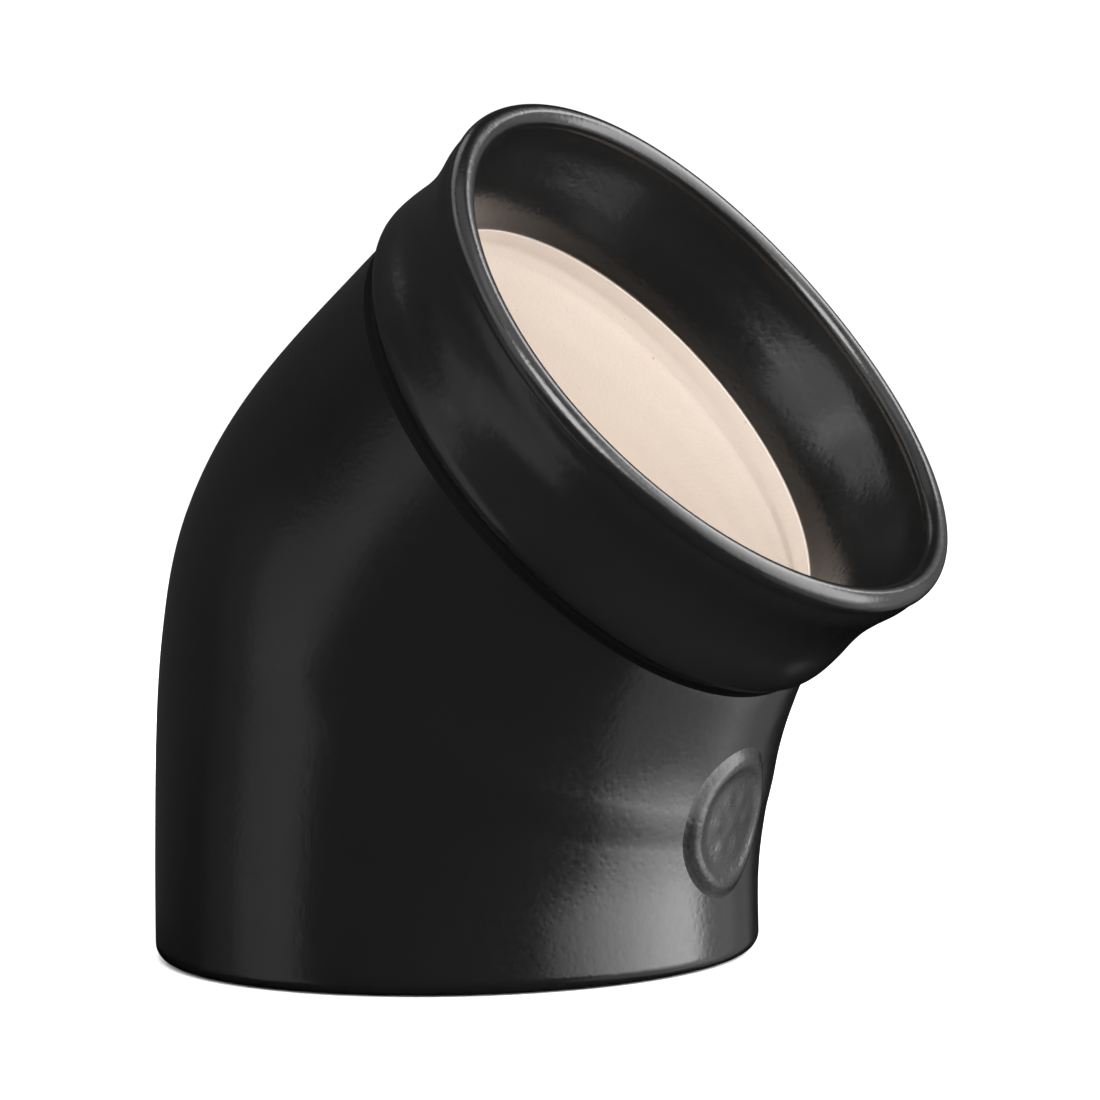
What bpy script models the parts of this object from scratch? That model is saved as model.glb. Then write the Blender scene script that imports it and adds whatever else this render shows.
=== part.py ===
"""Salt pig: a stoneware pot bent over like an elbow, with a wide flared mouth collar.

Every round piece is turned straight, as on a potter's wheel, and is then carried onto the bent
centreline. So a profile is a list of (height, radius) points in millimetres, where the height runs
along the centreline from the table at 0. The pot leans towards +X, and y = 0 is its mirror plane.
"""

import math

import bmesh
import bpy
from mathutils import Matrix, Vector
from mathutils.bvhtree import BVHTree

MM = 0.001
FACETS = 48  # round each turned piece
SEAL_FACETS = 24
GAP = 0.3  # between pieces that touch, in millimetres like every length below

# Centreline: upright at the foot, one smooth bend, then straight on through the collar. The rings
# tip over evenly with height, so near the foot they lead the centreline and at the neck they match.
BEND_START = Vector((0.0, 0.0, 3.0))
NECK = Vector((30.2, 0.0, 83.5))  # centre of the joint between neck and collar
RIM = Vector((49.4, 0.0, 98.0))  # centre of the lip
RISE_HANDLE = 53.5
NECK_HANDLE = 29.8
BEND_ANGLE = 43.0  # of the centreline at the neck, in degrees from upright
NECK_TILT = 52.8  # of the joint's plane
RIM_TILT = 51.1  # of the mouth's plane

# Bent pot.
POT_RADII = (50.0, 50.9, 52.4, 51.0, 48.4)  # at even spaces from the bend's start to the neck
MIDDLE = 2  # the widest of those radii, where the lower swell meets the upper curve
MIDDLE_SLOPE = 0.4  # of the upper curve where they meet
BASE_RADIUS = POT_RADII[0]
WALL = 5.6
FLOOR = 6.5
FLOOR_COVE = 3.0
SEAM_HEIGHT = 45.0  # where the elbow is joined onto the drum
SEAM_GAP = 0.6  # along the centreline; it closes to about half of that inside the bend
EDGE_ROUND = 2.5
COAT = 0.5  # glaze
COAT_BOTTOM = 0.3
FOOT_RADIUS = 46.9
RING_SPACE = 6.4  # between the rings that a wall's outer side is turned from

# Mouth collar. Depths are measured down from the lip's centre, along the centreline.
LIP_RADIUS = 49.45
LIP_ROUND = 2.1
THROAT_RADIUS = 41.7
THROAT_DEPTH = 20.1
SPIGOT_RADIUS = 46.4
SOCKET_RADIUS = SPIGOT_RADIUS + GAP + 0.1
COLLAR_OUTER = ((3.4, 51.2), (6.6, 50.5), (10.0, 50.1), (13.5, 50.1), (17.0, 50.3), (19.6, 50.4))
COLLAR_INNER = ((15.5, 42.5), (11.5, 43.8), (7.5, 45.4), (3.6, 46.8))
ROLL_ROUND = 2.6  # of the collar's lower edge
LUTING_HEIGHT = 1.2
LUTING_RADIUS = 48.4

# Applied seal on the front of the pot.
SEAL_HEIGHT = 47.0
SEAL_AZIMUTH = 2.5
SEAL_GAP = 0.45  # leaves room for the facets of the curved wall behind it
SEAL_PROFILE = ((0.9, 0.0), (0.9, 3.5), (0.92, 7.2), (1.1, 8.3), (1.35, 9.1), (1.4, 9.7),
                (1.1, 10.7), (0.65, 11.8))

COLOURS = {
    "clay_floor": ((0.78, 0.66, 0.54), 0.85),
    "clay_drum": ((0.78, 0.66, 0.54), 0.85),
    "clay_elbow": ((0.78, 0.66, 0.54), 0.85),
    "body_glaze": ((0.012, 0.012, 0.013), 0.32),
    "mouth_collar": ((0.012, 0.012, 0.013), 0.30),
    "luting_ring": ((0.010, 0.010, 0.011), 0.45),
    "seal_medallion": ((0.014, 0.014, 0.015), 0.32),
}


def clear_scene():
    for obj in list(bpy.data.objects):
        bpy.data.objects.remove(obj, do_unlink=True)


def new_collection(name):
    made = bpy.data.collections.new(name)
    bpy.context.scene.collection.children.link(made)
    return made


def new_material(name):
    colour, roughness = COLOURS[name]
    made = bpy.data.materials.new(name + "_finish")
    made.use_nodes = True
    shader = made.node_tree.nodes["Principled BSDF"]
    shader.inputs["Base Color"].default_value = (*colour, 1.0)
    shader.inputs["Roughness"].default_value = roughness
    shader.inputs["Metallic"].default_value = 0.0
    made.diffuse_color = (*colour, 1.0)
    return made


def bend_point(u):
    """A point on the bend's Bezier curve."""
    lean = math.radians(BEND_ANGLE)
    p0, p3 = BEND_START, NECK
    p1 = p0 + Vector((0.0, 0.0, RISE_HANDLE))
    p2 = p3 - NECK_HANDLE * Vector((math.sin(lean), 0.0, math.cos(lean)))
    v = 1.0 - u
    return v**3 * p0 + 3 * v * v * u * p1 + 3 * v * u * u * p2 + u**3 * p3


def bend_table(steps=400):
    """(height, u) pairs, so that a height along the centreline can be turned into u."""
    table = [(BEND_START.z, 0.0)]
    last = BEND_START
    for step in range(1, steps + 1):
        point = bend_point(step / steps)
        table.append((table[-1][0] + (point - last).length, step / steps))
        last = point
    return table


TABLE = bend_table()
NECK_HEIGHT = TABLE[-1][0]
RIM_HEIGHT = NECK_HEIGHT + (RIM - NECK).length


def station(height):
    """The centre of the ring at this height, and the ring's tilt towards +X in radians."""
    if height <= BEND_START.z:
        return Vector((0.0, 0.0, height)), 0.0
    if height >= NECK_HEIGHT:
        t = (height - NECK_HEIGHT) / (RIM_HEIGHT - NECK_HEIGHT)
        return NECK.lerp(RIM, t), math.radians(NECK_TILT + (RIM_TILT - NECK_TILT) * t)
    low, high = next(pair for pair in zip(TABLE, TABLE[1:]) if pair[1][0] >= height)
    u = low[1] + (high[1] - low[1]) * (height - low[0]) / (high[0] - low[0])
    bent = (height - BEND_START.z) / (NECK_HEIGHT - BEND_START.z)
    return bend_point(u), math.radians(NECK_TILT) * bent


def frame_at(height):
    """The ring's own frame: X to the outside of the lean, Y across, Z along the centreline."""
    centre, tilt = station(height)
    return Matrix.Translation(centre * MM) @ Matrix.Rotation(tilt, 4, "Y")


def pot_radius(height):
    """The glazed pot's outer radius: straight up from the base, then a smooth swell to the middle
    and one smooth curve through POT_RADII above it."""
    t = (len(POT_RADII) - 1) * (height - BEND_START.z) / (NECK_HEIGHT - BEND_START.z)
    if t < MIDDLE:
        s = max(t, 0.0) / MIDDLE
        swell = POT_RADII[MIDDLE] - POT_RADII[0]
        return POT_RADII[0] + swell * s**3 * (4 - 3 * s) + MIDDLE_SLOPE * s * s * (s - 1)
    total = 0.0
    for i, radius in enumerate(POT_RADII):
        weight = 1.0
        for j in range(len(POT_RADII)):
            if j != i:
                weight *= (t - j) / (i - j)
        total += weight * radius
    return total


def arc(height, radius, size, start, end, steps):
    """Points on a circle of this size. The angle is 0 at the outside and 90 at the top."""
    angles = [math.radians(start + (end - start) * k / steps) for k in range(steps + 1)]
    return [(height + size * math.sin(a), radius + size * math.cos(a)) for a in angles]


def rings(low, high, space=RING_SPACE):
    """Heights from low to high, about this far apart."""
    count = math.ceil((high - low) / space)
    return [low + (high - low) * k / count for k in range(count + 1)]


def turned(name, profile, steps=FACETS):
    """A solid turned about Z. The profile starts and ends on the axis, or is a closed loop."""
    mesh = bpy.data.meshes.new(name)
    shape = bmesh.new()
    points = [shape.verts.new((radius * MM, 0.0, height * MM)) for height, radius in profile]
    for first, second in zip(points, points[1:]):
        shape.edges.new((first, second))
    if profile[0][1] > 0.0:
        shape.edges.new((points[-1], points[0]))
    shape.to_mesh(mesh)
    shape.free()
    obj = bpy.data.objects.new(name, mesh)
    PARTS.objects.link(obj)
    turn = obj.modifiers.new("Turn", "SCREW")
    turn.axis = "Z"
    turn.steps = turn.render_steps = steps
    turn.use_merge_vertices = True
    turn.merge_threshold = 0.00001
    return apply_modifiers(obj)


def apply_modifiers(obj):
    graph = bpy.context.evaluated_depsgraph_get()
    made = bpy.data.meshes.new_from_object(obj.evaluated_get(graph))
    obj.modifiers.clear()
    obj.data = made
    made.name = obj.name
    return obj


def carry(obj):
    """Moves a straight turned piece onto the bent centreline."""
    for vertex in obj.data.vertices:
        x, y, height = vertex.co
        vertex.co = frame_at(height / MM) @ Vector((x, y, 0.0))
    return obj


def finish(obj, seat=None):
    """Shading, material, and the object's own origin where it sits on its neighbour."""
    shape = bmesh.new()
    shape.from_mesh(obj.data)
    bmesh.ops.recalc_face_normals(shape, faces=shape.faces)
    shape.to_mesh(obj.data)
    shape.free()
    obj.data.shade_smooth()
    obj.data.set_sharp_from_angle(angle=math.radians(40))
    obj.data.materials.clear()
    obj.data.materials.append(new_material(obj.name))
    obj.parent = ROOT
    if seat is not None:
        obj.data.transform(seat.inverted())
        obj.matrix_world = seat
    return obj


def clay_floor():
    """The floor slab, with the flat bare foot that the pot stands on."""
    skin = COAT + GAP
    edge = COAT_BOTTOM + EDGE_ROUND
    top = [(FLOOR, 0.0), (FLOOR, pot_radius(FLOOR) - skin)]
    bottom = arc(edge, BASE_RADIUS - EDGE_ROUND, EDGE_ROUND - skin, 0, -90, 3)
    foot = [(0.9, FOOT_RADIUS + 0.1), (0.3, FOOT_RADIUS), (0.0, FOOT_RADIUS - 0.3), (0.0, 0.0)]
    return finish(carry(turned("clay_floor", top + bottom + foot)))


def clay_drum():
    """The lower wall, with a small cove where it stands on the floor slab."""
    low, high = FLOOR + GAP, SEAM_HEIGHT - SEAM_GAP / 2
    inner_foot = pot_radius(low + FLOOR_COVE) - WALL
    inside = arc(low + FLOOR_COVE, inner_foot - FLOOR_COVE, FLOOR_COVE, -90, 0, 3)
    inside += [(height, pot_radius(height) - WALL)
               for height in rings(low + FLOOR_COVE, high, 2 * RING_SPACE)[1:]]
    outside = [(height, pot_radius(height) - COAT - GAP) for height in reversed(rings(low, high))]
    return finish(carry(turned("clay_drum", inside + outside)))


def clay_elbow():
    """The upper wall, which bends over to the neck and ends in the spigot under the collar."""
    low, shoulder = SEAM_HEIGHT + SEAM_GAP / 2, NECK_HEIGHT - LUTING_HEIGHT
    spigot_top = RIM_HEIGHT - THROAT_DEPTH - GAP
    inside = [(height, pot_radius(height) - WALL)
              for height in rings(low, NECK_HEIGHT, 2 * RING_SPACE)]
    top = [(spigot_top - 0.5, THROAT_RADIUS + 0.2), (spigot_top, THROAT_RADIUS + 0.6),
           (spigot_top, SPIGOT_RADIUS - 0.4), (spigot_top - 0.4, SPIGOT_RADIUS),
           (shoulder, SPIGOT_RADIUS)]
    outside = [(height, pot_radius(height) - COAT - GAP)
               for height in reversed(rings(low, shoulder))]
    return finish(carry(turned("clay_elbow", inside + top + outside)), frame_at(SEAM_HEIGHT))


def body_glaze():
    """The glaze coat over the pot's outer side, from the joint down round the base edge."""
    edge = COAT_BOTTOM + EDGE_ROUND
    heights = rings(edge, NECK_HEIGHT - LUTING_HEIGHT)
    outside = [(height, pot_radius(height)) for height in reversed(heights)]
    outside += arc(edge, BASE_RADIUS - EDGE_ROUND, EDGE_ROUND, 0, -90, 4)[1:]
    inside = arc(edge, BASE_RADIUS - EDGE_ROUND, EDGE_ROUND - COAT, -90, 0, 3)[:-1]
    inside += [(height, pot_radius(height) - COAT) for height in heights]
    return finish(carry(turned("body_glaze", outside + inside)))


def luting_ring():
    """The bead of slip that joins neck and collar, and shows as a groove between them."""
    low = NECK_HEIGHT - LUTING_HEIGHT + GAP + 0.1
    high = NECK_HEIGHT + LUTING_HEIGHT / 2 - GAP - 0.1
    hollow = (low + high) / 2
    profile = [(high, SOCKET_RADIUS), (high, LUTING_RADIUS), (hollow, LUTING_RADIUS - 0.4),
               (low, LUTING_RADIUS - 0.2), (low, SOCKET_RADIUS)]
    ring = carry(turned("luting_ring", profile))
    return finish(ring, frame_at(NECK_HEIGHT))


def mouth_collar():
    """The flared collar: throat edge, cove, rounded lip, waist, lower roll and neck socket."""
    def at(depth, radius):
        return RIM_HEIGHT - depth, radius

    foot = NECK_HEIGHT + LUTING_HEIGHT / 2
    inside = [at(THROAT_DEPTH, THROAT_RADIUS + 0.5), at(THROAT_DEPTH - 0.5, THROAT_RADIUS),
              at(THROAT_DEPTH - 1.4, THROAT_RADIUS + 0.1)]
    inside += [at(*point) for point in COLLAR_INNER]
    lip = arc(RIM_HEIGHT, LIP_RADIUS, LIP_ROUND, 190, -30, 8)
    outside = [at(*point) for point in COLLAR_OUTER]
    roll = arc(foot + ROLL_ROUND, outside[-1][1] - ROLL_ROUND, ROLL_ROUND, -15, -90, 3)
    socket = [(foot, SOCKET_RADIUS), at(THROAT_DEPTH, SOCKET_RADIUS)]
    profile = inside + lip + outside + roll + socket
    return finish(carry(turned("mouth_collar", profile)), frame_at(NECK_HEIGHT))


def wall_point(height, azimuth):
    """A point on the pot's outer side. Azimuth 0 is the front, under the mouth."""
    angle, radius = math.radians(azimuth), pot_radius(height) * MM
    return frame_at(height) @ Vector((radius * math.cos(angle), radius * math.sin(angle), 0.0))


def wall_seat(height, azimuth):
    """A frame on the wall: X across the pot, Y up along it, Z straight out of it."""
    across = (wall_point(height, azimuth + 1) - wall_point(height, azimuth - 1)).normalized()
    along = wall_point(height + 1, azimuth) - wall_point(height - 1, azimuth)
    out = across.cross(along).normalized()
    frame = Matrix((across, out.cross(across), out)).transposed().to_4x4()
    return Matrix.Translation(wall_point(height, azimuth)) @ frame


def drape(obj, wall, seat):
    """Lets a flat piece in the seat's frame follow the wall behind it, along the seat's Z."""
    tree = BVHTree.FromPolygons([seat.inverted() @ wall.matrix_world @ v.co
                                 for v in wall.data.vertices],
                                [face.vertices for face in wall.data.polygons])
    reach = 10 * MM
    for vertex in obj.data.vertices:
        hit = tree.ray_cast(Vector((vertex.co.x, vertex.co.y, reach)), Vector((0, 0, -1)))[0]
        vertex.co.z += hit.z
    return obj


def seal_medallion(wall):
    """A round raised rim and a dished face, applied to the front of the pot."""
    back = [(SEAL_GAP, radius) for radius in (11.8, 10.0, 7.8, 5.2, 2.6, 0.0)]
    seal = turned("seal_medallion", list(SEAL_PROFILE) + back, SEAL_FACETS)
    seat = wall_seat(SEAL_HEIGHT, SEAL_AZIMUTH)
    drape(seal, wall, seat)
    finish(seal)
    seal.matrix_world = seat
    return seal


clear_scene()
PARTS = new_collection("salt_pig")
ROOT = bpy.data.objects.new("salt_pig_origin", None)
PARTS.objects.link(ROOT)
clay_floor()
clay_drum()
clay_elbow()
glaze = body_glaze()
luting_ring()
mouth_collar()
seal_medallion(glaze)
bpy.context.view_layer.update()
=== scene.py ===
"""Looks of the salt pig: fine turned surfaces, glaze, bare clay, studio light and camera.

Every round piece is a profile of (height, radius) points in millimetres that is turned round and
carried onto the pot's bent centreline, as in the CAD. Meshes are built in metres. Five pieces are
made: the clay body, its glaze, the joint's groove, the collar and the seal.
"""
import math

import bpy
import numpy as np
from mathutils import Matrix, Vector
from mathutils.bvhtree import BVHTree

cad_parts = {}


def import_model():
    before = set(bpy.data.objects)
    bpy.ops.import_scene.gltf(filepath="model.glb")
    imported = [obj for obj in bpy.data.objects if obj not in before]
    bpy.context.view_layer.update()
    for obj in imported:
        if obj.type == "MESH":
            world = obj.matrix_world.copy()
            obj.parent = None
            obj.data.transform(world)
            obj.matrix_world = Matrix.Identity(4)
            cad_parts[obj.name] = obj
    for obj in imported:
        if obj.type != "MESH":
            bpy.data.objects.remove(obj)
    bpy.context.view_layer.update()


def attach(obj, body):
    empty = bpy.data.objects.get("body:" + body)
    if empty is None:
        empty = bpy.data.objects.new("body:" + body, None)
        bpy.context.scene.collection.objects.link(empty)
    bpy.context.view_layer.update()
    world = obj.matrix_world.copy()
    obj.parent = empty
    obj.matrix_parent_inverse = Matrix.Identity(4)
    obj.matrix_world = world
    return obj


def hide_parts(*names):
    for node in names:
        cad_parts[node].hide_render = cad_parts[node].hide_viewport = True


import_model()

MM = 0.001
FACETS = 320  # round every turned piece
TURNED_SHARP, SEAL_SHARP = 50, 60  # degrees: sharper edges than this aren't smoothed

# The CAD's centreline and radii. A pair is (height, radius) or, on the collar, (depth, radius).
BEND_START = Vector((0.0, 0.0, 3.0))
NECK = Vector((30.2, 0.0, 83.5))
RIM = Vector((49.4, 0.0, 98.0))
RISE_HANDLE, NECK_HANDLE, BEND_ANGLE = 53.5, 29.8, 43.0
NECK_TILT, RIM_TILT = 52.8, 51.1
POT_RADII = (50.0, 50.9, 52.4, 51.0, 48.4)
MIDDLE, MIDDLE_SLOPE = 2, 0.4
WALL, FLOOR, FLOOR_COVE = 5.6, 6.5, 3.0
BASE_RADIUS, FOOT_RADIUS, EDGE_ROUND, COAT, COAT_BOTTOM = 50.0, 46.4, 2.5, 0.5, 0.15
LIP_RADIUS, LIP_ROUND = 49.45, 2.1
THROAT_RADIUS, THROAT_DEPTH, SPIGOT_RADIUS = 41.7, 20.1, 46.4
# Below the rim, from the throat up (inner) and from the lip down (outer).
COLLAR_OUTER = ((3.4, 51.1), (6.6, 50.3), (10.0, 49.75), (13.5, 49.75), (17.0, 50.15), (19.6, 50.3))
COLLAR_INNER = ((15.5, 42.5), (11.5, 43.8), (7.5, 45.4), (3.6, 46.8))
ROLL_ROUND, LUTING_HEIGHT = 3.4, 1.2

# Where the looks leave the CAD by some tenths of a millimetre.
FULLNESS = 0.5  # how much fuller the fired wall is at the middle of the bend
FULLER, SLIMMER = (39.0, 14.0), (56.0, 34.0)  # where it swells and sinks back: from, over
NECKING = 0.15  # how far the wall draws in just under the joint
NECKED_BELOW, NECKED_OVER = 8.0, 7.0
RIM_SADDLE = 0.8  # how far the fired rim rises at front and back and drops at its sides
LUTING_SEAT = 46.6  # the joint's inner radius, just off the spigot

# The seal: its place on the wall, its section as (height off the wall, radius), and its relief.
SEAL_HEIGHT, SEAL_AZIMUTH = 47.0, 2.5
SEAL_PROFILE = ((0.42, 0.0), (0.42, 3.5), (0.42, 5.8), (0.46, 7.2), (0.68, 8.3), (0.92, 9.1),
                (0.98, 9.7), (0.86, 10.5), (0.56, 11.2), (0.25, 11.8), (0.04, 12.3), (-0.15, 12.8))
SEAL_FACE, SEAL_RELIEF = 7.6, 0.15
SEAL_ROWS, SEAL_FACETS = 46, 180
SEAL_BACK = -0.003  # metres: the flat back, inside the clay

# The camera, in metres and millimetres of film.
VIEW_PLACE = Vector((0.387433, -0.559226, 0.105959))
VIEW_FORWARD = Vector((-0.5482521, 0.83425568, -0.05862683))
VIEW_RIGHT = Vector((0.83612537, 0.54826588, -0.01728845))
VIEW_LEFT_BY, VIEW_UP_BY = 0.0002, 0.0001
FILM, LENS = 36.0, 134.82

# The lights, in metres and degrees.
LIGHT_TARGET, LIGHT_DISTANCE = Vector((0.01, 0.0, 0.065)), 1.2
ROOM_STRENGTH = 1.1
FLOOR_HALF = 6.0


# ---------------------------------------------------------------- centreline
def bend_point(u):
    lean = math.radians(BEND_ANGLE)
    p0, p3 = BEND_START, NECK
    p1 = p0 + Vector((0.0, 0.0, RISE_HANDLE))
    p2 = p3 - NECK_HANDLE * Vector((math.sin(lean), 0.0, math.cos(lean)))
    v = 1.0 - u
    return v**3 * p0 + 3 * v * v * u * p1 + 3 * v * u * u * p2 + u**3 * p3


def bend_table(steps=2000):
    heights, us, last = [BEND_START.z], [0.0], BEND_START
    for step in range(1, steps + 1):
        point = bend_point(step / steps)
        heights.append(heights[-1] + (point - last).length)
        us.append(step / steps)
        last = point
    return heights, us


TABLE = bend_table()
NECK_HEIGHT = TABLE[0][-1]
RIM_HEIGHT = NECK_HEIGHT + (RIM - NECK).length
GLAZE_TOP = NECK_HEIGHT - LUTING_HEIGHT - 0.2  # where the pot's glaze ends under the joint


def frame_at(height):
    """The ring's own frame: X to the outside of the lean, Y across, Z along the centreline."""
    if height <= BEND_START.z:
        centre, tilt = Vector((0.0, 0.0, height)), 0.0
    elif height >= NECK_HEIGHT:
        t = (height - NECK_HEIGHT) / (RIM_HEIGHT - NECK_HEIGHT)
        centre, tilt = NECK.lerp(RIM, t), NECK_TILT + (RIM_TILT - NECK_TILT) * t
    else:
        centre = bend_point(float(np.interp(height, *TABLE)))
        tilt = NECK_TILT * (height - BEND_START.z) / (NECK_HEIGHT - BEND_START.z)
    return Matrix.Translation(centre * MM) @ Matrix.Rotation(math.radians(tilt), 4, "Y")


def pot_radius(height):
    """The glazed pot's outer radius, as in the CAD: a swell up to the middle of the bend, and above
    it the one quartic curve through the radii."""
    t = (len(POT_RADII) - 1) * (height - BEND_START.z) / (NECK_HEIGHT - BEND_START.z)
    if t < MIDDLE:
        s = max(t, 0.0) / MIDDLE
        swell = POT_RADII[MIDDLE] - POT_RADII[0]
        return POT_RADII[0] + swell * s**3 * (4 - 3 * s) + MIDDLE_SLOPE * s * s * (s - 1)
    stations = range(len(POT_RADII))
    return sum(radius * math.prod((t - j) / (i - j) for j in stations if j != i)
               for i, radius in enumerate(POT_RADII))


# ---------------------------------------------------------------- profiles and meshes
def arc(height, radius, size, start, end, steps):
    angles = [math.radians(start + (end - start) * k / steps) for k in range(steps + 1)]
    return [(height + size * math.sin(a), radius + size * math.cos(a)) for a in angles]


def spaced(low, high, count):
    return [low + (high - low) * k / count for k in range(count + 1)]


def spline(points, parts):
    """A smooth curve through the points (Catmull-Rom), with this many parts between two of them."""
    found = []
    ends = [points[0], *points, points[-1]]
    for a, b, c, d in zip(ends, ends[1:], ends[2:], ends[3:]):
        for k in range(parts):
            t = k / parts
            found.append(tuple(
                0.5 * (2 * q + (r - p) * t + (2 * p - 5 * q + 4 * r - s) * t * t
                       + (3 * q - p - 3 * r + s) * t**3)
                for p, q, r, s in zip(a, b, c, d)))
    return found + [points[-1]]


def mesh_object(name, verts, faces, uvs=None):
    mesh = bpy.data.meshes.new(name)
    mesh.from_pydata([tuple(v) for v in verts], [], faces)
    if uvs is not None:
        layer = mesh.uv_layers.new(name="around_along")
        index = np.empty(len(mesh.loops), np.int32)
        mesh.loops.foreach_get("vertex_index", index)
        layer.data.foreach_set("uv", np.asarray(uvs, np.float32)[index].ravel())
    mesh.validate()
    obj = bpy.data.objects.new(name, mesh)
    bpy.context.scene.collection.objects.link(obj)
    return obj


def turned(name, profile, shift=None):
    """A closed ring, or a solid whose profile starts and ends on the axis, on the centreline.
    shift(height, angles) is added to each ring's height, in millimetres."""
    angles = np.arange(FACETS) * (2 * math.pi / FACETS)
    on_axis = profile[0][1] < 1e-6
    verts, uvs, rings = [], [], []
    for height, radius in profile:
        place = np.array(frame_at(height))
        if radius < 1e-6:
            rings.append([len(verts)])
            verts.append(place[:3, 3])
            uvs.append((0.5, height * MM))
            continue
        rings.append(list(range(len(verts), len(verts) + FACETS)))
        lift = shift(height, angles) if shift else np.zeros(FACETS)
        local = np.stack([radius * MM * np.cos(angles), radius * MM * np.sin(angles),
                          lift * MM], axis=1)
        verts.extend(local @ place[:3, :3].T + place[:3, 3])
        uvs.extend(zip(angles / (2 * math.pi), [height * MM] * FACETS))
    faces = []
    pairs = list(zip(rings, rings[1:])) + ([] if on_axis else [(rings[-1], rings[0])])
    for low, high in pairs:
        for k in range(FACETS):
            n = (k + 1) % FACETS
            if len(low) == 1:
                faces.append((low[0], high[n], high[k]))
            elif len(high) == 1:
                faces.append((low[k], low[n], high[0]))
            else:
                faces.append((low[k], low[n], high[n], high[k]))
    obj = mesh_object(name, verts, faces, uvs)
    obj.data.shade_smooth()
    obj.data.set_sharp_from_angle(angle=math.radians(TURNED_SHARP))
    return obj


def saddle(height, angles):
    """The rim's slight saddle, which fades out towards the neck."""
    share = np.clip((height - NECK_HEIGHT - 2.0) / (RIM_HEIGHT - NECK_HEIGHT - 2.0), 0.0, 1.2)
    return RIM_SADDLE * share * share * np.cos(2 * angles)


def share_of(height, start, length):
    return min(max((height - start) / length, 0.0), 1.0)


def eased(share):
    return share * share * (3 - 2 * share)


def glaze_radius(height):
    """The pot's outer radius, a little fuller at the bend and drawn in where it meets the joint."""
    full = eased(share_of(height, *FULLER)) - eased(share_of(height, *SLIMMER))
    necked = share_of(height, NECK_HEIGHT - NECKED_BELOW, NECKED_OVER)
    return pot_radius(height) + FULLNESS * full - NECKING * necked**3


# ---------------------------------------------------------------- pieces
def fine_clay():
    """The bare clay pot: floor, wall and the spigot that carries the collar, as one fired body."""
    spigot_top = RIM_HEIGHT - THROAT_DEPTH - 0.05
    inner_foot = pot_radius(FLOOR + FLOOR_COVE) - WALL
    inside = [(FLOOR, 0.0)] + [(FLOOR, r) for r in spaced(2.0, inner_foot - FLOOR_COVE, 16)]
    inside += arc(FLOOR + FLOOR_COVE, inner_foot - FLOOR_COVE, FLOOR_COVE, -90, 0, 16)[1:]
    inside += [(h, pot_radius(h) - WALL)
               for h in spaced(FLOOR + FLOOR_COVE, NECK_HEIGHT - 2.0, 110)[1:]]
    inside += spline([inside[-1], (NECK_HEIGHT + 1.2, 42.3),
                      (spigot_top - 0.3, THROAT_RADIUS + 0.15)], 8)[1:]
    shoulder = GLAZE_TOP - 0.6
    top = [(spigot_top, THROAT_RADIUS + 0.5), (spigot_top, SPIGOT_RADIUS),
           (shoulder, SPIGOT_RADIUS)]
    outside = [(h, glaze_radius(h) - COAT - 0.05)
               for h in spaced(shoulder, COAT_BOTTOM + EDGE_ROUND, 40)]
    bottom = arc(COAT_BOTTOM + EDGE_ROUND, BASE_RADIUS - EDGE_ROUND, EDGE_ROUND - COAT,
                 0, -90, 8)[1:]
    foot = [(0.55, FOOT_RADIUS + 0.1), (0.3, FOOT_RADIUS), (0.08, FOOT_RADIUS - 0.12),
            (0.0, FOOT_RADIUS - 0.4), (0.0, 30.0), (0.0, 12.0), (0.0, 0.0)]
    return turned("clay_body_fine", inside + top + outside + bottom + foot)


def fine_glaze():
    """The coat over the clay's outer side, rounded in at the base."""
    edge = COAT_BOTTOM + EDGE_ROUND
    outside = [(h, glaze_radius(h)) for h in [GLAZE_TOP, *spaced(GLAZE_TOP - 0.06, edge, 200)]]
    outside += arc(edge, BASE_RADIUS - EDGE_ROUND, EDGE_ROUND, 0, -90, 20)[1:]
    lower = arc(edge, BASE_RADIUS - EDGE_ROUND, EDGE_ROUND - COAT, -90, 0, 6)
    inside = [(h, glaze_radius(h) - COAT) for h in spaced(edge, GLAZE_TOP, 24)[1:]]
    return turned("body_glaze_fine", outside + lower + inside)


def fine_luting():
    """The floor of the groove between neck and collar."""
    edge = GLAZE_TOP + 0.04
    hollow = [(NECK_HEIGHT + 1.5, 48.6), (NECK_HEIGHT + 0.9, 47.8), (NECK_HEIGHT + 0.3, 47.25),
              (NECK_HEIGHT - 0.4, 47.1), (NECK_HEIGHT - 0.9, 47.35),
              (edge, glaze_radius(edge) - 0.04)]
    back = [(hollow[-1][0], LUTING_SEAT), (hollow[0][0], LUTING_SEAT)]
    return turned("luting_ring_fine", spline(hollow, 8) + back)


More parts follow.
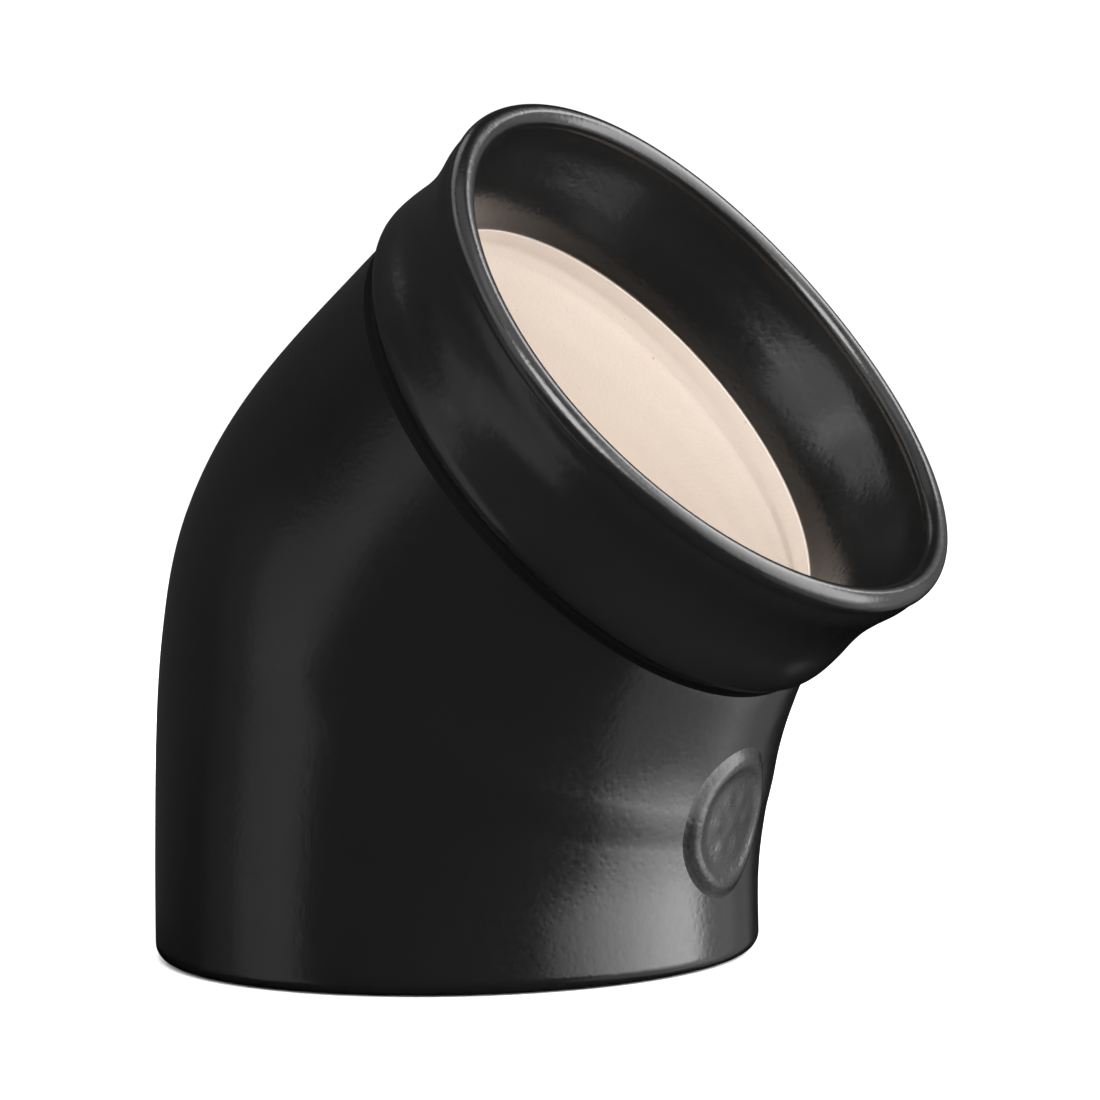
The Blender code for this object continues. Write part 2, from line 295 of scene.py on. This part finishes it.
def fine_collar():
    """The flared ring: throat edge, inner face, round lip, waist, lower roll and socket."""
    def at(depth, radius):
        return RIM_HEIGHT - depth, radius

    foot = NECK_HEIGHT + LUTING_HEIGHT / 2
    edge = [at(THROAT_DEPTH, THROAT_RADIUS + 0.6), at(THROAT_DEPTH, THROAT_RADIUS + 0.25),
            at(THROAT_DEPTH - 0.12, THROAT_RADIUS + 0.06), at(THROAT_DEPTH - 0.4, THROAT_RADIUS)]
    lip = arc(RIM_HEIGHT, LIP_RADIUS, LIP_ROUND, 190, -30, 36)
    inside = spline([at(THROAT_DEPTH - 0.5, THROAT_RADIUS),
                     at(THROAT_DEPTH - 1.4, THROAT_RADIUS + 0.1),
                     *[at(*point) for point in COLLAR_INNER], lip[0]], 9)
    roll = arc(foot + ROLL_ROUND, COLLAR_OUTER[-1][1] - ROLL_ROUND, ROLL_ROUND, -15, -100, 18)
    outside = spline([lip[-1], *[at(*point) for point in COLLAR_OUTER], roll[0]], 9)
    socket = [(foot + 0.1, SPIGOT_RADIUS + 0.2), at(THROAT_DEPTH, SPIGOT_RADIUS + 0.2)]
    profile = edge + inside[:-1] + lip + outside[1:-1] + roll + socket
    return turned("mouth_collar_fine", profile, saddle)


def wall_point(height, azimuth):
    angle, radius = math.radians(azimuth), pot_radius(height) * MM
    return frame_at(height) @ Vector((radius * math.cos(angle), radius * math.sin(angle), 0.0))


def wall_seat(height, azimuth):
    """A frame on the wall with Z outwards."""
    across = (wall_point(height, azimuth + 1) - wall_point(height, azimuth - 1)).normalized()
    along = wall_point(height + 1, azimuth) - wall_point(height - 1, azimuth)
    out = across.cross(along).normalized()
    turn = Matrix((across, out.cross(across), out)).transposed().to_4x4()
    return Matrix.Translation(wall_point(height, azimuth)) @ turn


def seal_relief(radius, angle):
    """A plain six-lobed rosette, pressed shallow into the dished face."""
    inner = np.clip(1.0 - (radius / SEAL_FACE) ** 4, 0.0, 1.0)
    lobes = 0.5 + 0.5 * np.cos(6 * angle)
    petals = lobes * np.exp(-((radius - 4.6) / 1.7) ** 2)
    button = np.exp(-(radius / 1.7) ** 2)
    return SEAL_RELIEF * inner * (petals + button)


def fine_seal(wall):
    """A disc of clay that follows the wall under it, closed by a flat back inside the clay."""
    seat = wall_seat(SEAL_HEIGHT, SEAL_AZIMUTH)
    tree = BVHTree.FromPolygons([seat.inverted() @ v.co for v in wall.data.vertices],
                                [face.vertices for face in wall.data.polygons])
    curve = np.array(spline(list(SEAL_PROFILE), 8))
    radii = np.concatenate([np.linspace(0.0, SEAL_FACE, SEAL_ROWS),
                            curve[curve[:, 1] > SEAL_FACE + 0.01][:, 1]])
    heights = np.interp(radii, curve[:, 1], curve[:, 0])
    angles = np.arange(SEAL_FACETS) * (2 * math.pi / SEAL_FACETS)

    def across(radius, angle):
        return radius * MM * math.cos(angle), radius * MM * math.sin(angle)

    verts = []
    for radius, height in zip(radii, heights):
        for angle in angles if radius > 0.0 else angles[:1]:
            x, y = across(radius, angle)
            wall_top = tree.ray_cast(Vector((x, y, 0.02)), Vector((0, 0, -1)))[0].z
            top = wall_top + (height + float(seal_relief(radius, angle))) * MM
            verts.append(seat @ Vector((x, y, top)))
    back = len(verts)
    verts.extend(seat @ Vector((*across(radii[-1], angle), SEAL_BACK)) for angle in angles)
    following = [(k, (k + 1) % SEAL_FACETS) for k in range(SEAL_FACETS)]
    faces = [(0, 1 + k, 1 + n) for k, n in following]
    for low in range(1, back, SEAL_FACETS):
        high = low + SEAL_FACETS
        faces += [(low + k, high + k, high + n, low + n) for k, n in following]
    faces.append(tuple(back + k for k in reversed(range(SEAL_FACETS))))
    obj = mesh_object("seal_medallion_fine", verts, faces)
    obj.data.shade_smooth()
    obj.data.set_sharp_from_angle(angle=math.radians(SEAL_SHARP))
    return obj


# ---------------------------------------------------------------- materials
class Net:
    """Short ways to add and link nodes in one material."""

    def __init__(self, name):
        self.made = bpy.data.materials.new(name)
        self.made.use_nodes = True
        self.nodes, self.links = self.made.node_tree.nodes, self.made.node_tree.links
        self.shader = self.nodes["Principled BSDF"]

    def add(self, kind, **settings):
        node = self.nodes.new(kind)
        for key, value in settings.items():
            setattr(node, key, value)
        return node

    def link(self, source, target):
        self.links.new(source, target)

    def noise(self, where, scale, detail=2.0, roughness=0.5):
        node = self.add("ShaderNodeTexNoise")
        node.inputs["Scale"].default_value = scale
        node.inputs["Detail"].default_value = detail
        node.inputs["Roughness"].default_value = roughness
        self.link(where, node.inputs["Vector"])
        return node.outputs["Fac"]

    def span(self, value, low, high, to_low, to_high):
        node = self.add("ShaderNodeMapRange")
        for socket, number in zip(("From Min", "From Max", "To Min", "To Max"),
                                  (low, high, to_low, to_high)):
            node.inputs[socket].default_value = number
        self.link(value, node.inputs["Value"])
        return node.outputs["Result"]

    def ramp(self, value, stops):
        node = self.add("ShaderNodeValToRGB")
        ramp = node.color_ramp
        while len(ramp.elements) < len(stops):
            ramp.elements.new(0.5)
        for element, (place, colour) in zip(ramp.elements, stops):
            element.position, element.color = place, (*colour, 1.0)
        self.link(value, node.inputs["Fac"])
        return node.outputs["Color"]

    def bump(self, height, distance, strength, after=None):
        node = self.add("ShaderNodeBump")
        node.inputs["Distance"].default_value = distance
        node.inputs["Strength"].default_value = strength
        self.link(height, node.inputs["Height"])
        if after is not None:
            self.link(after, node.inputs["Normal"])
        return node.outputs["Normal"]


def glaze(name, rough_low, rough_high, grain, tone=0.0031, gloss=0.5):
    """Black glaze: broad waves, orange peel and fine pits. Tone is its base colour, gloss its
    specular level, and grain how strong the peel and pits are."""
    net = Net(name)
    where = net.add("ShaderNodeTexCoord").outputs["Object"]
    broad = net.noise(where, 28.0, 3.0)
    fine = net.noise(where, 900.0, 3.0, 0.6)
    peel = net.noise(where, 620.0, 2.0)
    pits = net.add("ShaderNodeTexVoronoi")
    pits.inputs["Scale"].default_value = 780.0
    net.link(where, pits.inputs["Vector"])
    net.link(net.ramp(broad, [(0.3, (0.9 * tone,) * 3), (0.7, (1.1 * tone,) * 3)]),
             net.shader.inputs["Base Color"])
    net.link(net.span(fine, 0.3, 0.7, rough_low, rough_high), net.shader.inputs["Roughness"])
    first = net.bump(peel, 0.00012, grain)
    dents = net.span(pits.outputs["Distance"], 0.0, 0.45, 0.0, 1.0)
    second = net.bump(dents, 0.00006, grain, first)
    net.link(net.bump(broad, 0.0006, 0.5, second), net.shader.inputs["Normal"])
    net.shader.inputs["Specular IOR Level"].default_value = gloss
    return net.made


def clay(name):
    """Bare cream clay with faint throwing marks, fine tooth and a few darker specks."""
    net = Net(name)
    where = net.add("ShaderNodeTexCoord")
    broad = net.noise(where.outputs["Object"], 22.0, 3.0)
    fine = net.noise(where.outputs["Object"], 1500.0, 4.0, 0.65)
    specks = net.noise(where.outputs["Object"], 900.0, 1.0)
    base = net.ramp(broad, [(0.25, (0.55, 0.475, 0.412)), (0.75, (0.585, 0.52, 0.46))])
    dark = net.ramp(specks, [(0.765, (1.0, 1.0, 1.0)), (0.82, (0.78, 0.68, 0.6))])
    mix = net.add("ShaderNodeMix", data_type="RGBA", blend_type="MULTIPLY")
    mix.inputs["Factor"].default_value = 1.0
    net.link(base, mix.inputs["A"])
    net.link(dark, mix.inputs["B"])
    net.link(mix.outputs["Result"], net.shader.inputs["Base Color"])
    net.link(net.span(fine, 0.3, 0.7, 0.78, 0.92), net.shader.inputs["Roughness"])
    marks = net.add("ShaderNodeTexWave", wave_type="BANDS", bands_direction="Y")
    marks.inputs["Scale"].default_value = 60.0
    marks.inputs["Distortion"].default_value = 1.5
    net.link(where.outputs["UV"], marks.inputs["Vector"])
    first = net.bump(marks.outputs["Fac"], 0.0002, 0.1)
    net.link(net.bump(fine, 0.00008, 0.5, first), net.shader.inputs["Normal"])
    return net.made


def paint(obj, material, slot, *nodes):
    """Give a piece its material and its place in the frame."""
    obj.data.materials.clear()
    obj.data.materials.append(material)
    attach(obj, "root")
    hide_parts(*nodes)


# ---------------------------------------------------------------- build
for left_over in ("Cube", "Light", "Camera"):  # a new file's own objects, where it has them
    found = bpy.data.objects.get(left_over)
    if found is not None:
        bpy.data.objects.remove(found, do_unlink=True)

wall = fine_glaze()
seal = fine_seal(wall)
paint(fine_clay(), clay("bare_clay"), "bare_clay", "clay_floor", "clay_drum", "clay_elbow")
paint(wall, glaze("satin_glaze_body", 0.19, 0.26, 0.22), "body_glaze", "body_glaze")
paint(fine_luting(), glaze("satin_glaze_joint", 0.5, 0.6, 0.22, 0.0035, 0.02),
      "joint_glaze", "luting_ring")
paint(fine_collar(), glaze("satin_glaze_collar", 0.18, 0.25, 0.22, 0.004),
      "collar_glaze", "mouth_collar")
paint(seal, glaze("satin_glaze_seal", 0.24, 0.32, 0.55), "seal_glaze", "seal_medallion")


# ---------------------------------------------------------------- camera, floor and light
def camera():
    data = bpy.data.cameras.new("camera")
    obj = bpy.data.objects.new("camera", data)
    bpy.context.scene.collection.objects.link(obj)
    forward = VIEW_FORWARD.normalized()
    right = (VIEW_RIGHT - VIEW_RIGHT.dot(forward) * forward).normalized()
    up = right.cross(forward)
    turn = Matrix((right, up, -forward)).transposed().to_4x4()
    place = VIEW_PLACE - VIEW_LEFT_BY * right + VIEW_UP_BY * up
    obj.matrix_world = Matrix.Translation(place) @ turn
    data.sensor_width, data.lens = FILM, LENS
    data.clip_start, data.clip_end = 0.01, 50.0
    bpy.context.scene.camera = obj
    return obj


def floor():
    """A pale paper floor that the glaze doesn't mirror."""
    corners = [(x * FLOOR_HALF, y * FLOOR_HALF, 0) for x, y in ((-1, -1), (1, -1), (1, 1), (-1, 1))]
    obj = mesh_object("studio_floor", corners, [(0, 1, 2, 3)])
    net = Net("floor_paper")
    where = net.add("ShaderNodeTexCoord").outputs["Object"]
    tones = [(0.3, (0.91, 0.91, 0.91)), (0.7, (0.93, 0.93, 0.93))]
    net.link(net.ramp(net.noise(where, 3.0), tones), net.shader.inputs["Base Color"])
    net.shader.inputs["Roughness"].default_value = 0.9
    net.shader.inputs["Specular IOR Level"].default_value = 0.0
    obj.data.materials.append(net.made)
    obj.visible_glossy = False
    obj.visible_shadow = False
    return obj


VIEW = camera()


def soft_light(name, azimuth, elevation, wide, tall, brightness):
    """A soft panel that faces the object. Angles are in degrees as seen from the object, and
    azimuth is counted from the camera's side, positive to the camera's right."""
    data = bpy.data.lights.new(name, "AREA")
    data.shape = "RECTANGLE"
    data.size = 2 * LIGHT_DISTANCE * math.tan(math.radians(wide / 2))
    data.size_y = 2 * LIGHT_DISTANCE * math.tan(math.radians(tall / 2))
    data.energy = brightness * math.pi * data.size * data.size_y
    obj = bpy.data.objects.new(name, data)
    bpy.context.scene.collection.objects.link(obj)
    obj.visible_camera = False
    back = VIEW.location - LIGHT_TARGET
    turn, rise = math.atan2(back.y, back.x) + math.radians(azimuth), math.radians(elevation)
    out = Vector((math.cos(turn) * math.cos(rise), math.sin(turn) * math.cos(rise),
                  math.sin(rise)))
    obj.location = LIGHT_TARGET + out * LIGHT_DISTANCE
    obj.rotation_mode = "QUATERNION"
    obj.rotation_quaternion = out.to_track_quat("Z", "Y")


def world():
    """White surroundings for the camera and for diffuse light; gloss shows only the panels."""
    made = bpy.data.worlds.new("studio")
    bpy.context.scene.world = made
    made.use_nodes = True
    room = made.node_tree.nodes["Background"]
    room.inputs["Color"].default_value = (1.0, 1.0, 1.0, 1.0)
    room.inputs["Strength"].default_value = ROOM_STRENGTH
    made.cycles_visibility.glossy = False


# The key light is a stack of panels one inside the other, so that its light fades softly to the
# left and towards the table. Each is left, right, low, high in degrees, as in soft_light().
KEY_STACK = ((30, 107, -21, 48), (38, 107, -23, 46), (46, 106, -26, 44), (54, 105, -30, 42),
             (62, 104, -18, 40), (70, 103, -34, 38), (78, 102, -20, 36))
KEY_BRIGHTNESS = 0.92

PANELS = (
    # name, azimuth, elevation, wide, tall, brightness
    ("key_under", 88, -37, 54, 32, 0.65),
    ("key_right", 118, -2, 20, 60, 0.4),
    ("key_front", 14, 30, 40, 40, 2.6),
    ("lip_key", 8, 33, 28, 32, 10.0),
    ("rim_back", 116, 38, 24, 24, 6.0),
    ("right_back", 125, 8, 46, 96, 0.3),
    ("left_low", -75, -20, 28, 36, 0.42),
    ("left_top", -71, 7, 34, 20, 0.4),
    ("left_core", -68, -12, 14, 36, 0.1),
    ("left_fade", -98, -4, 18, 50, 0.1),
    ("sky_left", -33, 31, 50, 34, 1.3),
    ("sky_left_high", -72, 54, 50, 22, 1.3),
    ("sky_back_left", -138, 50, 44, 20, 1.2),
    ("top_right", 45, 66, 60, 26, 1.2),
    ("far_back", -150, 14, 80, 50, 0.05),
    ("zenith", 0, 88, 40, 40, 0.7),
)
floor()
world()
for panel in PANELS:
    soft_light(*panel)
for number, (left, right, low, high) in enumerate(KEY_STACK):
    soft_light(f"key_{number + 1}", (left + right) / 2, (low + high) / 2, right - left, high - low,
               KEY_BRIGHTNESS)

view = bpy.context.scene.view_settings
view.view_transform = "Standard"
view.look = "None"
view.exposure, view.gamma = 0.0, 1.0
